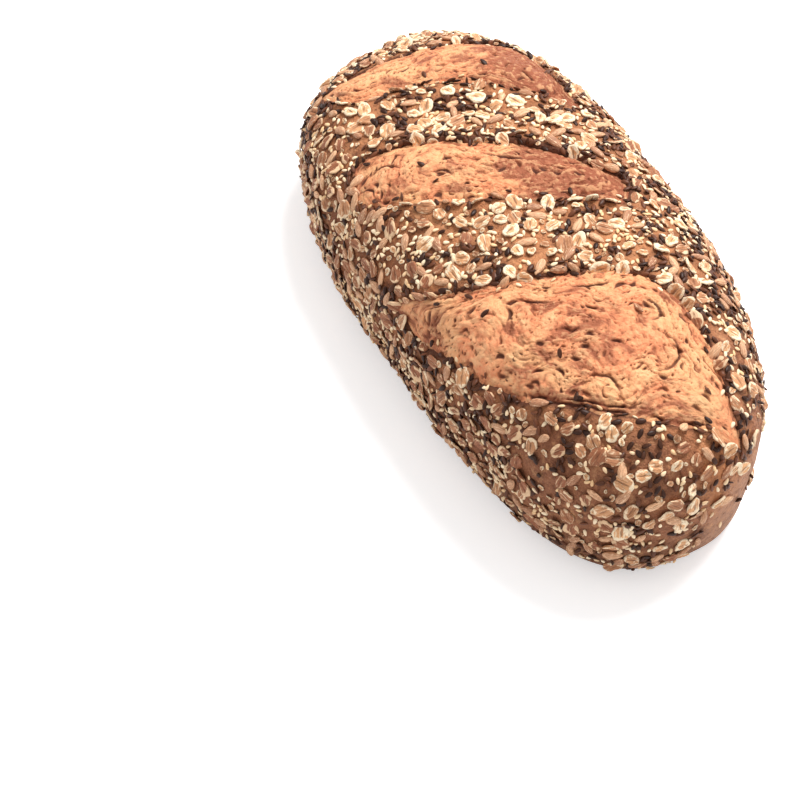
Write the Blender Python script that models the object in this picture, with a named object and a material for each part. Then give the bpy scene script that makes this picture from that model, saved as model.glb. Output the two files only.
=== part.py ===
"""A whole oval loaf of seeded bread, baked free on a stone and slashed three times across its back.

Metres, +Z up. The loaf lies along X on its flat base, with the origin under its middle. Its end at +X is
the narrower and slightly taller one. One solid: the crust, with the rolled flakes and kernels fused on.
"""

import math
import random

import bmesh
import bpy
import numpy as np
from mathutils import Matrix, Vector, noise

# The loaf's outer form
LENGTH = 0.3205
WIDTH = 0.1535
CROWN = 0.0955
BELLY = 0.036
OVERHANG = 0.015
PLAN_POWER = 2.56
PROFILE_POWER = 2.6
NARROWING = -0.054
RISING = 0.12
SIDE_BEND = 0.0033
PLAN_SKEW = -0.009
UNDERSIDE_SHARE = 0.38
# The bare corner stands fuller on its base: its bearing, how wide it is, and the overhang it lacks
CORNER_BEARING = 0.3
CORNER_SPREAD = 0.4
CORNER_FULLNESS = 0.5

# Gentle unevenness of the dough
LUMP_SPACING = 0.045
LUMP_HEIGHT = 0.0016

# The three slashes in plan: both tips, and the two handles of the curve along each edge
SLASHES = (
    {
        "tips": ((-0.132, -0.042), (-0.040, 0.057)),
        "far": ((-0.128, 0.081), (-0.098, 0.058)),
        "near": ((-0.073, -0.040), (-0.139, -0.022)),
    },
    {
        "tips": ((-0.061, -0.056), (0.025, 0.036)),
        "far": ((-0.097, -0.065), (0.000, 0.081)),
        "near": ((-0.032, -0.084), (0.015, 0.019)),
    },
    {
        "tips": ((0.004, -0.071), (0.151, 0.022)),
        "far": ((0.076, -0.032), (0.020, 0.054)),
        "near": ((0.078, -0.071), (0.116, -0.058)),
    },
)
EDGE_STEPS = 24
BLOOM_SWELL = 0.0034
BLOOM_ROUNDING = 0.011
FAR_GROOVE = 0.0028
NEAR_GROOVE = 0.0018
GROOVE_WIDTH = 0.0050
LIP_HEIGHT = 0.0012
LIP_WIDTH = 0.0075
CUT_STEEPNESS = 0.0030
TIP_FADE = 0.14

# The toppings large enough to be part of the solid
FLAKE_RADII = (0.0047, 0.0037)
FLAKE_ABOVE = 0.0011
FLAKE_BELOW = 0.0014
FLAKE_SIDES = 7
KERNEL_RADII = (0.0050, 0.0023, 0.0019)
TOPPING_SPACING = 0.0166
TOPPING_LOWEST = 0.013
TOPPING_EDGE_GAP = 0.0052
BARE_CENTRE = (0.158, 0.030, 0.020)
BARE_RADIUS = 0.040
KERNEL_SHARE = 0.25
TOPPING_SEED = 12

# How finely the crust is faceted
BALL_SUBDIVISIONS = 8
CRUST_TRIANGLES = 3800


def clear_scene():
    for obj in list(bpy.data.objects):
        bpy.data.objects.remove(obj, do_unlink=True)


def uncut_form(ball):
    """Moves points of a unit ball onto the loaf as it was before it was slashed."""
    flat = np.hypot(ball[:, 0], ball[:, 1])
    bearing = np.arctan2(ball[:, 1], ball[:, 0])
    along, across = np.cos(bearing), np.sin(bearing)
    reach = (np.abs(along) ** PLAN_POWER + np.abs(across) ** PLAN_POWER) ** (-1 / PLAN_POWER)
    rim_x, rim_y = LENGTH / 2 * reach * along, WIDTH / 2 * reach * across

    rise = np.arctan2(ball[:, 2], flat)
    out, up = np.abs(np.cos(rise)), np.abs(np.sin(rise))
    dome = (out**PROFILE_POWER + up**PROFILE_POWER) ** (-1 / PROFILE_POWER)
    corner = CORNER_FULLNESS * np.exp(-(((bearing - CORNER_BEARING) / CORNER_SPREAD) ** 2))
    foot = 1 - OVERHANG * (1 - corner) / np.hypot(rim_x, rim_y)
    dip = np.clip(-rise / (math.pi / 2), 0, 1)
    turn = np.clip(dip / UNDERSIDE_SHARE, 0, 1) * math.pi / 2
    under = foot + (1 - foot) * np.cos(turn)
    base = foot * (1 - dip) / (1 - UNDERSIDE_SHARE)
    below = np.where(dip > UNDERSIDE_SHARE, base, under)
    share = np.where(rise >= 0, out * dome, below)
    height = np.where(rise >= 0, BELLY + (CROWN - BELLY) * up * dome, BELLY * (1 - np.sin(turn)))

    x, y = rim_x * share, rim_y * share
    end = x / (LENGTH / 2)
    y = y * (1 + NARROWING * end) + SIDE_BEND * (1 - end**2)
    x = x + PLAN_SKEW * y / (WIDTH / 2)
    return np.column_stack([x, y, height * (1 + RISING * end)])


def edge_curve(slash, side):
    """Points along one edge of a slash, from tip to tip."""
    start, end = np.array(slash["tips"][0]), np.array(slash["tips"][1])
    first, second = np.array(slash[side][0]), np.array(slash[side][1])
    t = np.linspace(0, 1, EDGE_STEPS + 1)[:, None]
    middle = 3 * (1 - t) ** 2 * t * first + 3 * (1 - t) * t**2 * second
    return (1 - t) ** 3 * start + middle + t**3 * end


def curve_distance(plan, curve):
    """Distance in plan from each point to a curve."""
    nearest = np.full(len(plan), 1.0)
    for start, end in zip(curve[:-1], curve[1:]):
        step = end - start
        share = np.clip(((plan - start) @ step) / (step @ step), 0, 1)
        nearest = np.minimum(nearest, np.linalg.norm(plan - start - share[:, None] * step, axis=1))
    return nearest


def inside_loop(plan, loop):
    """Which points in plan lie inside a closed loop."""
    inside = np.zeros(len(plan), bool)
    for start, end in zip(loop, np.roll(loop, -1, axis=0)):
        spans = (start[1] > plan[:, 1]) != (end[1] > plan[:, 1])
        rise = end[1] - start[1] if end[1] != start[1] else 1.0
        crossing = start[0] + (plan[:, 1] - start[1]) / rise * (end[0] - start[0])
        inside ^= spans & (plan[:, 0] < crossing)
    return inside


def smooth_step(share):
    share = np.clip(share, 0, 1)
    return share * share * (3 - 2 * share)


def slash_place(plan, slash):
    """For points in plan: distance to the far and near edge, distance outside the slash (negative
    inside) and how fully the slash opened there."""
    far, near = edge_curve(slash, "far"), edge_curve(slash, "near")
    to_far, to_near = curve_distance(plan, far), curve_distance(plan, near)
    inside = inside_loop(plan, np.vstack([far, near[-2:0:-1]]))
    outside = np.where(inside, -1, 1) * np.minimum(to_far, to_near)
    start, end = np.array(slash["tips"][0]), np.array(slash["tips"][1])
    share = ((plan - start) @ (end - start)) / ((end - start) @ (end - start))
    return to_far, to_near, outside, smooth_step(share / TIP_FADE) * smooth_step((1 - share) / TIP_FADE)


def slash_relief(plan):
    """Height that the slashes add: a swollen bloom in a groove, between lifted lips."""
    total = np.zeros(len(plan))
    for slash in SLASHES:
        to_far, to_near, outside, fullness = slash_place(plan, slash)
        bloom = (
            BLOOM_SWELL * (1 - np.exp(np.minimum(outside, 0) / BLOOM_ROUNDING))
            - FAR_GROOVE * np.exp(-((to_far / GROOVE_WIDTH) ** 2))
            - NEAR_GROOVE * np.exp(-((to_near / GROOVE_WIDTH) ** 2))
        )
        lip = LIP_HEIGHT * np.exp(-((np.maximum(outside, 0) / LIP_WIDTH) ** 2))
        total += fullness * (bloom + (lip - bloom) * smooth_step(outside / CUT_STEEPNESS + 0.5))
    return total


def lumps(points):
    return np.array([noise.noise(Vector(p) / LUMP_SPACING) for p in points])


def make_crust():
    """The crust: a ball drawn out to the loaf's form, then slashed."""
    bpy.ops.mesh.primitive_ico_sphere_add(subdivisions=BALL_SUBDIVISIONS, radius=1.0)
    crust = bpy.context.object
    crust.name = crust.data.name = "loaf"
    mesh = crust.data
    ball = np.empty(len(mesh.vertices) * 3)
    mesh.vertices.foreach_get("co", ball)
    points = uncut_form(ball.reshape(-1, 3))
    mesh.vertices.foreach_set("co", points.ravel())
    mesh.update()

    normals = np.empty(len(points) * 3)
    mesh.vertices.foreach_get("normal", normals)
    normals = normals.reshape(-1, 3)
    off_base = np.clip(points[:, 2] / BELLY, 0, 1)
    upper = np.clip(normals[:, 2] / 0.25, 0, 1)
    relief = slash_relief(points[:, :2]) * upper + LUMP_HEIGHT * lumps(points)
    points += normals * (relief * off_base)[:, None]
    mesh.vertices.foreach_set("co", points.ravel())
    mesh.update()
    mesh.materials.append(crust_material())
    return crust


def thin_out(obj, triangles):
    """Fewer triangles, kept where the surface turns."""
    fewer = obj.modifiers.new("fewer", "DECIMATE")
    fewer.ratio = triangles / len(obj.data.polygons)
    bpy.context.view_layer.objects.active = obj
    bpy.ops.object.modifier_apply(modifier=fewer.name)


def crust_material():
    """Matt brown crust."""
    material = bpy.data.materials.new("crust")
    material.use_nodes = True
    shader = material.node_tree.nodes["Principled BSDF"]
    shader.inputs["Base Color"].default_value = (0.42, 0.20, 0.085, 1.0)
    shader.inputs["Roughness"].default_value = 0.7
    shader.inputs["Metallic"].default_value = 0.0
    return material


def topping_sites(crust):
    """Places and normals for the toppings, evenly spaced over the skin between the slashes."""
    count = len(crust.data.vertices)
    places, normals = np.empty(count * 3), np.empty(count * 3)
    crust.data.vertices.foreach_get("co", places)
    crust.data.vertices.foreach_get("normal", normals)
    places, normals = places.reshape(-1, 3), normals.reshape(-1, 3)
    allowed = places[:, 2] > TOPPING_LOWEST
    allowed &= np.linalg.norm(places - BARE_CENTRE, axis=1) > BARE_RADIUS
    for slash in SLASHES:
        allowed &= slash_place(places[:, :2], slash)[2] > TOPPING_EDGE_GAP

    order = list(np.flatnonzero(allowed))
    draw = random.Random(TOPPING_SEED)
    draw.shuffle(order)
    sites = []
    kept = np.empty((0, 3))
    for index in order:
        place = places[index]
        if len(kept) and np.linalg.norm(kept - place, axis=1).min() < TOPPING_SPACING:
            continue
        kept = np.vstack([kept, place])
        sites.append((Vector(place), Vector(normals[index])))
    return sites, draw


def flake_shape(draw):
    """A rolled flake: a low oval disc with a smaller top."""
    shape = bmesh.new()
    bmesh.ops.create_cone(shape, cap_ends=True, segments=FLAKE_SIDES, radius1=1.0, radius2=0.72, depth=1.0)
    size = draw.uniform(0.88, 1.12)
    long, short = FLAKE_RADII[0] * size, FLAKE_RADII[1] * size * draw.uniform(0.9, 1.15)
    bmesh.ops.scale(shape, vec=(long, short, FLAKE_ABOVE + FLAKE_BELOW), verts=shape.verts)
    bmesh.ops.translate(shape, vec=(0, 0, (FLAKE_ABOVE - FLAKE_BELOW) / 2), verts=shape.verts)
    return shape


def kernel_shape(draw):
    """A hulled kernel: a plump drop, pointed at one end."""
    shape = bmesh.new()
    bmesh.ops.create_uvsphere(shape, u_segments=6, v_segments=4, radius=1.0)
    bmesh.ops.rotate(shape, matrix=Matrix.Rotation(math.pi / 2, 3, "Y"), verts=shape.verts)
    size = draw.uniform(0.9, 1.1)
    for vertex in shape.verts:
        vertex.co.y *= 1 - 0.35 * vertex.co.x
        vertex.co.z *= 1 - 0.25 * vertex.co.x
    bmesh.ops.scale(shape, vec=[radius * size for radius in KERNEL_RADII], verts=shape.verts)
    return shape


def add_topping(name, shape, place, normal, turn, collection):
    mesh = bpy.data.meshes.new(name)
    lie = normal.to_track_quat("Z", "Y").to_matrix() @ Matrix.Rotation(turn, 3, "Z")
    shape.transform(Matrix.Translation(place) @ lie.to_4x4())
    shape.to_mesh(mesh)
    shape.free()
    collection.objects.link(bpy.data.objects.new(name, mesh))


def fuse_toppings(crust):
    """Fuses the flakes and kernels to the crust."""
    sites, draw = topping_sites(crust)
    thin_out(crust, CRUST_TRIANGLES)
    toppings = bpy.data.collections.new("toppings")
    bpy.context.scene.collection.children.link(toppings)
    for number, (place, normal) in enumerate(sites):
        make = kernel_shape if draw.random() < KERNEL_SHARE else flake_shape
        add_topping(f"topping_{number}", make(draw), place, normal, draw.uniform(0, math.tau), toppings)

    union = crust.modifiers.new("fuse", "BOOLEAN")
    union.operation = "UNION"
    union.operand_type = "COLLECTION"
    union.collection = toppings
    union.solver = "MANIFOLD"
    bpy.context.view_layer.objects.active = crust
    bpy.ops.object.modifier_apply(modifier=union.name)
    for topping in list(toppings.objects):
        bpy.data.objects.remove(topping, do_unlink=True)
    bpy.data.collections.remove(toppings)
    print(len(sites), "toppings")


def centre_on_origin(obj):
    """Puts the middle of the plan over the origin and the base at Z = 0."""
    places = np.array([vertex.co for vertex in obj.data.vertices])
    low, high = places.min(axis=0), places.max(axis=0)
    middle = (low + high) / 2
    obj.data.transform(Matrix.Translation((-middle[0], -middle[1], -low[2])))


def main():
    clear_scene()
    bread = bpy.data.collections.new("seeded_bread")
    bpy.context.scene.collection.children.link(bread)
    loaf = make_crust()
    fuse_toppings(loaf)
    centre_on_origin(loaf)
    for collection in list(loaf.users_collection):
        collection.objects.unlink(loaf)
    bread.objects.link(loaf)
    loaf.data.shade_smooth()
    loaf.data.set_sharp_from_angle(angle=math.radians(40))


main()
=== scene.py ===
"""A whole loaf of seeded bread: brown crust, three opened slashes, and rolled flakes, sunflower kernels,
sesame and linseed baked on. It lies along X on its flat base, in metres, in the frame of its CAD."""

import math
import random

import bpy
import numpy as np
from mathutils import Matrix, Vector, kdtree, noise


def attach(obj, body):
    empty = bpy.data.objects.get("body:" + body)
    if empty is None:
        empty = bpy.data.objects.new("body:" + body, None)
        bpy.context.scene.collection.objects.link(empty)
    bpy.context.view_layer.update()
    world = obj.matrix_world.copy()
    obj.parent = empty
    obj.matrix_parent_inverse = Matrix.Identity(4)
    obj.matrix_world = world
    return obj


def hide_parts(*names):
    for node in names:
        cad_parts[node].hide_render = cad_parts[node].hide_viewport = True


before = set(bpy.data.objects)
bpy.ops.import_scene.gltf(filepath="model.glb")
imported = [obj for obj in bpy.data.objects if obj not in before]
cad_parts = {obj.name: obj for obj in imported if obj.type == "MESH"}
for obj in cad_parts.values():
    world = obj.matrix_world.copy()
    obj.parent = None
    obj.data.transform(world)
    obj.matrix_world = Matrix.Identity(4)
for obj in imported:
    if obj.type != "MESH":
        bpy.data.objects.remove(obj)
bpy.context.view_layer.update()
bpy.ops.object.select_all(action="DESELECT")


# The crust: the skin of the dough, proved in a basket, rolled in seeds and baked free on a stone. It is
# thin, matt to slightly shiny and browned most where it faces up. Three cuts made just before baking tore
# open, so its edges there are lifted and turned in.
LENGTH, WIDTH, CROWN, BELLY, OVERHANG = 0.3205, 0.1535, 0.0955, 0.036, 0.015
PLAN_POWER, PROFILE_POWER = 2.56, 2.6
NARROWING, RISING, SIDE_BEND, PLAN_SKEW = -0.054, 0.12, 0.0033, -0.009
PLAN_MIDDLE = Vector((-0.00013, 0.00326, 0.0))
PLAN_SHIFT = np.array(PLAN_MIDDLE)[:2]
LUMP_SPACING, LUMP_HEIGHT = 0.045, 0.0016
CORNER_BEARING, CORNER_SPREAD, CORNER_FULLNESS = 0.3, 0.4, 0.5
SLASHES = {
    "far": {
        "tips": ((-0.132, -0.042), (-0.040, 0.057)),
        "far": ((-0.128, 0.081), (-0.098, 0.058)),
        "near": ((-0.073, -0.040), (-0.139, -0.022)),
        "grooves": (0.0004, 0.0002),
    },
    "middle": {
        "tips": ((-0.061, -0.056), (0.025, 0.036)),
        "far": ((-0.097, -0.065), (0.000, 0.081)),
        "near": ((-0.032, -0.084), (0.015, 0.019)),
        "grooves": (0.0018, 0.0003),
    },
    "near": {
        "tips": ((0.004, -0.071), (0.151, 0.022)),
        "far": ((0.076, -0.032), (0.020, 0.054)),
        "near": ((0.078, -0.071), (0.116, -0.058)),
        "grooves": (0.0004, 0.0006),
    },
}
BLOOM_SWELL, BLOOM_ROUNDING = 0.0034, 0.011
GROOVE_WIDTH = 0.0050
LIP_HEIGHT, LIP_WIDTH, TIP_FADE = 0.0006, 0.0075, 0.14
CRUST_ROUND, CRUST_ALONG = 250, 250
SKIN_UNDER_BLOOM, FACING_STEP = 0.0075, 0.003
PALE_END = np.array((0.150, 0.012))
BARE_CENTRE, BARE_RADIUS = np.array((0.158, 0.030, 0.020)), 0.042


def smooth_step(share):
    share = np.clip(share, 0, 1)
    return share * share * (3 - 2 * share)


def drift(points, size, seed=0):
    """Smooth random values from -1 to 1 at points, with bumps about the given size across."""
    cell = np.atleast_2d(points) / size + 31.7 * seed + 400
    corner = np.floor(cell).astype(np.int64)
    part = cell - corner
    part = part * part * (3 - 2 * part)
    total = np.zeros(len(cell))
    for pick in range(8):
        offset = np.array([pick & 1, (pick >> 1) & 1, (pick >> 2) & 1])
        at = corner + offset
        mixed = (at[:, 0] * 73856093) ^ (at[:, 1] * 19349663) ^ (at[:, 2] * 83492791)
        mixed = (mixed ^ (mixed >> 13)) * 1274126177 & 0xFFFFFFFF
        value = ((mixed ^ (mixed >> 16)) & 0xFFFF) / 32767.5 - 1
        total += value * np.prod(np.where(offset == 1, part, 1 - part), axis=1)
    return total


def uncut_form(ball):
    """Moves points of a unit ball onto the loaf as it was before it was slashed."""
    flat = np.hypot(ball[:, 0], ball[:, 1])
    bearing = np.arctan2(ball[:, 1], ball[:, 0])
    along, across = np.cos(bearing), np.sin(bearing)
    reach = (np.abs(along) ** PLAN_POWER + np.abs(across) ** PLAN_POWER) ** (-1 / PLAN_POWER)
    rim_x, rim_y = LENGTH / 2 * reach * along, WIDTH / 2 * reach * across
    rise = np.arctan2(ball[:, 2], flat)
    out, up = np.abs(np.cos(rise)), np.abs(np.sin(rise))
    dome = (out**PROFILE_POWER + up**PROFILE_POWER) ** (-1 / PROFILE_POWER)
    corner = CORNER_FULLNESS * np.exp(-(((bearing - CORNER_BEARING) / CORNER_SPREAD) ** 2))
    foot = 1 - OVERHANG * (1 - corner) / np.hypot(rim_x, rim_y)
    dip = np.clip(-rise / (math.pi / 2), 0, 1)
    turn = np.clip(dip / 0.7, 0, 1) * math.pi / 2
    under = foot + (1 - foot) * np.cos(turn)
    below = np.where(dip > 0.7, foot * (1 - dip) / 0.3, under)
    share = np.where(rise >= 0, out * dome, below)
    height = np.where(rise >= 0, BELLY + (CROWN - BELLY) * up * dome, BELLY * (1 - np.sin(turn)))
    x, y = rim_x * share, rim_y * share
    end = x / (LENGTH / 2)
    y = y * (1 + NARROWING * end) + SIDE_BEND * (1 - end**2)
    x = x + PLAN_SKEW * y / (WIDTH / 2)
    return np.column_stack([x, y, height * (1 + RISING * end)])


def uncut_facing(ball):
    """Which way the uncut loaf faces at points of the ball, from its form a small step to every side."""
    across = np.cross(ball, np.where(np.abs(ball[:, :1]) > 0.9, (0.0, 1.0, 0.0), (1.0, 0.0, 0.0)))
    across *= FACING_STEP / np.linalg.norm(across, axis=1)[:, None]
    along = np.cross(ball, across)
    first = uncut_form(ball + across) - uncut_form(ball - across)
    second = uncut_form(ball + along) - uncut_form(ball - along)
    normal = np.cross(first, second)
    return normal / np.linalg.norm(normal, axis=1)[:, None]


def edge_curve(slash, side):
    """Points along one edge of a slash, from tip to tip."""
    start, end = np.array(slash["tips"][0]), np.array(slash["tips"][1])
    first, second = np.array(slash[side][0]), np.array(slash[side][1])
    t = np.linspace(0, 1, 41)[:, None]
    middle = 3 * (1 - t) ** 2 * t * first + 3 * (1 - t) * t**2 * second
    return (1 - t) ** 3 * start + middle + t**3 * end


def curve_distance(plan, curve):
    nearest = np.full(len(plan), 1.0)
    for start, end in zip(curve[:-1], curve[1:]):
        step = end - start
        share = np.clip(((plan - start) @ step) / (step @ step), 0, 1)
        nearest = np.minimum(nearest, np.linalg.norm(plan - start - share[:, None] * step, axis=1))
    return nearest


def inside_loop(plan, loop):
    inside = np.zeros(len(plan), bool)
    for start, end in zip(loop, np.roll(loop, -1, axis=0)):
        spans = (start[1] > plan[:, 1]) != (end[1] > plan[:, 1])
        rise = end[1] - start[1] if end[1] != start[1] else 1.0
        crossing = start[0] + (plan[:, 1] - start[1]) / rise * (end[0] - start[0])
        inside ^= spans & (plan[:, 0] < crossing)
    return inside


def slash_place(plan, slash):
    """For points in plan: distance to the far and near edge, distance outside the slash (negative
    inside), share of its length and how fully it opened there. The torn edge wanders a little."""
    far, near = edge_curve(slash, "far"), edge_curve(slash, "near")
    to_far, to_near = curve_distance(plan, far), curve_distance(plan, near)
    inside = inside_loop(plan, np.vstack([far, near[-2:0:-1]]))
    outside = np.where(inside, -1, 1) * np.minimum(to_far, to_near)
    flat = np.column_stack([plan, np.zeros(len(plan))])
    outside = outside + 0.0013 * drift(flat, 0.009, 5) + 0.0006 * drift(flat, 0.0035, 6)
    start, end = np.array(slash["tips"][0]), np.array(slash["tips"][1])
    share = ((plan - start) @ (end - start)) / ((end - start) @ (end - start))
    fullness = smooth_step(share / TIP_FADE) * smooth_step((1 - share) / TIP_FADE)
    return to_far, to_near, outside, share, fullness


def outside_all(plan):
    """Distance in plan outside the nearest slash, negative inside one."""
    return np.minimum.reduce([slash_place(plan, slash)[2] for slash in SLASHES.values()])


def lumps(points):
    return LUMP_HEIGHT * np.array([noise.noise(Vector(p) / LUMP_SPACING) for p in points])


def read(items, what):
    """Three numbers for each of a mesh's points or faces, such as its place."""
    values = np.empty(len(items) * 3)
    items.foreach_get(what, values)
    return values.reshape(-1, 3)


def write(mesh, points):
    mesh.vertices.foreach_set("co", np.ascontiguousarray(points, dtype=np.float64).ravel())
    mesh.update()


def paint(mesh, name, values):
    """Keeps one number for each point of a mesh, for its material."""
    layer = mesh.attributes.new(name, "FLOAT", "POINT")
    layer.data.foreach_set("value", np.ascontiguousarray(values, dtype=np.float32))


def pick_faces(mesh, chosen):
    """Selects faces of a mesh that is about to be edited."""
    mesh.vertices.foreach_set("select", np.zeros(len(mesh.vertices), bool))
    mesh.edges.foreach_set("select", np.zeros(len(mesh.edges), bool))
    mesh.polygons.foreach_set("select", chosen)


bpy.ops.mesh.primitive_uv_sphere_add(
    segments=CRUST_ROUND, ring_count=CRUST_ALONG, radius=1.0, rotation=(0, math.pi / 2, 0)
)
crust = bpy.context.object
crust.name = crust.data.name = "crust"
bpy.ops.object.transform_apply(location=True, rotation=True, scale=True)

# The ball's points, in rows from one end to the other: they come first in the mesh, before any point added
ball = read(crust.data.vertices, "co")
row = np.rint(np.arccos(np.clip(ball[:, 0], -1, 1)) * CRUST_ALONG / math.pi).astype(int)
spoke = np.rint(np.arctan2(ball[:, 2], ball[:, 1]) * CRUST_ROUND / math.tau).astype(int) % CRUST_ROUND
rows = np.zeros((CRUST_ALONG + 1, CRUST_ROUND), int)
rows[row, spoke] = np.arange(len(ball))
rows[0], rows[-1] = np.argmax(ball[:, 0]), np.argmin(ball[:, 0])

# The ball gets a second, finer set of faces wherever the skin will tear
middle = uncut_form(read(crust.data.polygons, "center"))
tearing = (np.abs(outside_all(middle[:, :2]) + 0.0008) < 0.0052) & (middle[:, 2] > 0.040)
pick_faces(crust.data, tearing)
bpy.ops.object.mode_set(mode="EDIT")
bpy.ops.mesh.subdivide(number_cuts=1)
bpy.ops.object.mode_set(mode="OBJECT")

ball = read(crust.data.vertices, "co")
uncut, crust_normal = uncut_form(ball), uncut_facing(ball)
off_base = np.clip(uncut[:, 2] / BELLY, 0, 1)
facing_up = np.clip(crust_normal[:, 2] / 0.25, 0, 1)
skin_rise, torn, pulled = np.zeros(len(uncut)), np.zeros(len(uncut)), np.zeros(len(uncut))
for slash in SLASHES.values():
    to_far, to_near, outside, share, fullness = slash_place(uncut[:, :2], slash)
    lip = LIP_HEIGHT * fullness * np.exp(-((np.maximum(outside, 0) / LIP_WIDTH) ** 2))
    skin_rise += lip - SKIN_UNDER_BLOOM * smooth_step(-outside / 0.0024)
    torn = np.maximum(torn, smooth_step(0.8 - outside / 0.0018))
    pulled = np.maximum(pulled, 0.55 * np.exp(-((np.maximum(outside, 0) / 0.0050) ** 2)))
    # Painted shade in the deep groove under the far lip of a slash, added to the torn edge
    shaded = smooth_step(1.3 - np.abs(outside - 0.0006) / 0.0024)
    shaded = shaded * smooth_step((to_near - to_far) / 0.004 + 0.5)
    depth = min(1.0, slash["grooves"][0] / 0.0015)
    torn = np.maximum(torn, depth * shaded * smooth_step((share - 0.1) / 0.2))
from_end = np.linalg.norm(uncut[:, :2] - PALE_END, axis=1) + 0.005 * drift(uncut, 0.012, 3)
end_pull = 1.1 * np.exp(-((from_end / 0.013) ** 2)) * np.clip(uncut[:, 2] / 0.05 - 0.2, 0, 1)
pulled = np.maximum(pulled * facing_up, end_pull)
skin_rise = skin_rise * facing_up + lumps(uncut)
skin_rise += 0.00035 * drift(uncut, 0.007, 1) + 0.00018 * drift(uncut, 0.0028, 2)
write(crust.data, uncut + crust_normal * (skin_rise * off_base)[:, None] - np.array(PLAN_MIDDLE))
paint(crust.data, "torn", torn * facing_up)
paint(crust.data, "pulled", pulled)
from_bare = np.linalg.norm(read(crust.data.vertices, "co") - BARE_CENTRE, axis=1)
from_bare += 0.006 * drift(uncut, 0.015, 4)
paint(crust.data, "bare", smooth_step((BARE_RADIUS - from_bare) / 0.016))
crust.data.shade_smooth()
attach(crust, "root")
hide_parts("loaf")


class Wire:
    """A shader socket that takes part in sums."""

    def __init__(self, look, socket):
        self.look, self.socket = look, socket

    def sum_with(self, operation, first, second):
        return self.look.node("ShaderNodeMath", {"operation": operation}, {0: first, 1: second})

    def __add__(self, other):
        return self.sum_with("ADD", self, other)

    def __radd__(self, other):
        return self.sum_with("ADD", other, self)

    def __sub__(self, other):
        return self.sum_with("SUBTRACT", self, other)

    def __rsub__(self, other):
        return self.sum_with("SUBTRACT", other, self)

    def __mul__(self, other):
        return self.sum_with("MULTIPLY", self, other)

    def __rmul__(self, other):
        return self.sum_with("MULTIPLY", other, self)

    def __pow__(self, other):
        return self.sum_with("POWER", self, other)


class Look:
    """A material with its nodes."""

    def __init__(self, name, roughness=0.7, specular=0.4):
        self.material = bpy.data.materials.new(name)
        self.material.use_nodes = True
        self.tree = self.material.node_tree
        self.shader = self.tree.nodes["Principled BSDF"]
        self.shader.inputs["Roughness"].default_value = roughness
        self.shader.inputs["Specular IOR Level"].default_value = specular
        self.place = self.node("ShaderNodeTexCoord", {}, {}, out="Object")

    def node(self, kind, settings, sockets, out=0):
        made = self.tree.nodes.new(kind)
        for key, value in settings.items():
            if key == "stops":
                while len(made.color_ramp.elements) < len(value):
                    made.color_ramp.elements.new(0.5)
                for element, (position, colour) in zip(made.color_ramp.elements, value):
                    element.position = position
                    element.color = (*colour, 1.0)
            else:
                setattr(made, key, value)
        for key, value in sockets.items():
            if isinstance(value, Wire):
                self.tree.links.new(value.socket, made.inputs[key])
            else:
                made.inputs[key].default_value = value
        return Wire(self, made.outputs[out])

    def grain(self, scale, detail=2.0, roughness=0.5, distortion=0.0, along=None):
        sockets = {"Vector": along or self.place, "Scale": scale, "Detail": detail}
        sockets |= {"Roughness": roughness, "Distortion": distortion}
        return self.node("ShaderNodeTexNoise", {}, sockets, out="Fac")

    def own_grain(self, scale, detail, roughness, tint, stretch=(1.0, 1.0, 1.0)):
        """A grain on each seed's own shape, different from seed to seed."""
        own = self.node("ShaderNodeAttribute", {"attribute_name": "own"}, {}, out="Vector")
        laid = self.node("ShaderNodeMapping", {}, {"Vector": own, "Scale": stretch})
        sockets = {"Vector": laid, "W": tint * 83, "Scale": scale, "Detail": detail, "Roughness": roughness}
        return self.node("ShaderNodeTexNoise", {"noise_dimensions": "4D"}, sockets, out="Fac")

    def part(self, vector, axis):
        return self.node("ShaderNodeSeparateXYZ", {}, {"Vector": vector}, out=axis)

    def kept(self, name):
        return self.node("ShaderNodeAttribute", {"attribute_name": name}, {}, out="Fac")

    def between(self, value, low, high):
        """0 where the value is under low, 1 where it is over high, smooth between."""
        sockets = {"Value": value, "From Min": low, "From Max": high}
        return self.node("ShaderNodeMapRange", {"interpolation_type": "SMOOTHSTEP"}, sockets)

    def colour(self, mask, first, second):
        settings = {"data_type": "RGBA", "clamp_factor": True}
        pair = {6: first, 7: second}
        pair = {key: (*value, 1.0) if isinstance(value, tuple) else value for key, value in pair.items()}
        return self.node("ShaderNodeMix", settings, {0: mask, **pair}, out=2)

    def bump(self, height, distance, strength=1.0):
        return self.node("ShaderNodeBump", {}, {"Height": height, "Distance": distance, "Strength": strength})

    def finish(self, **inputs):
        for name, value in inputs.items():
            self.tree.links.new(value.socket, self.shader.inputs[name.replace("_", " ")])
        return self.material


def srgb(red, green, blue):
    """A colour as it looks on a screen, from 0 to 255, as shader light."""
    shares = (value / 255 for value in (red, green, blue))
    return tuple(share / 12.92 if share <= 0.04045 else ((share + 0.055) / 1.055) ** 2.4 for share in shares)


skin = Look("crust_skin", roughness=0.66, specular=0.22)
blotch = skin.grain(42, 4, 0.62)
speckle = skin.grain(460, 4, 0.66)
# Painted shade: the skin is darker and greyer low down, towards its base
low = skin.between(skin.part(skin.place, "Z") + blotch * 0.020, 0.052, 0.018)
tone = skin.colour(skin.between(blotch, 0.36, 0.64), srgb(206, 140, 96), srgb(158, 100, 66))
along_loaf, across_loaf = skin.part(skin.place, "X"), skin.part(skin.place, "Y")
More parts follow.
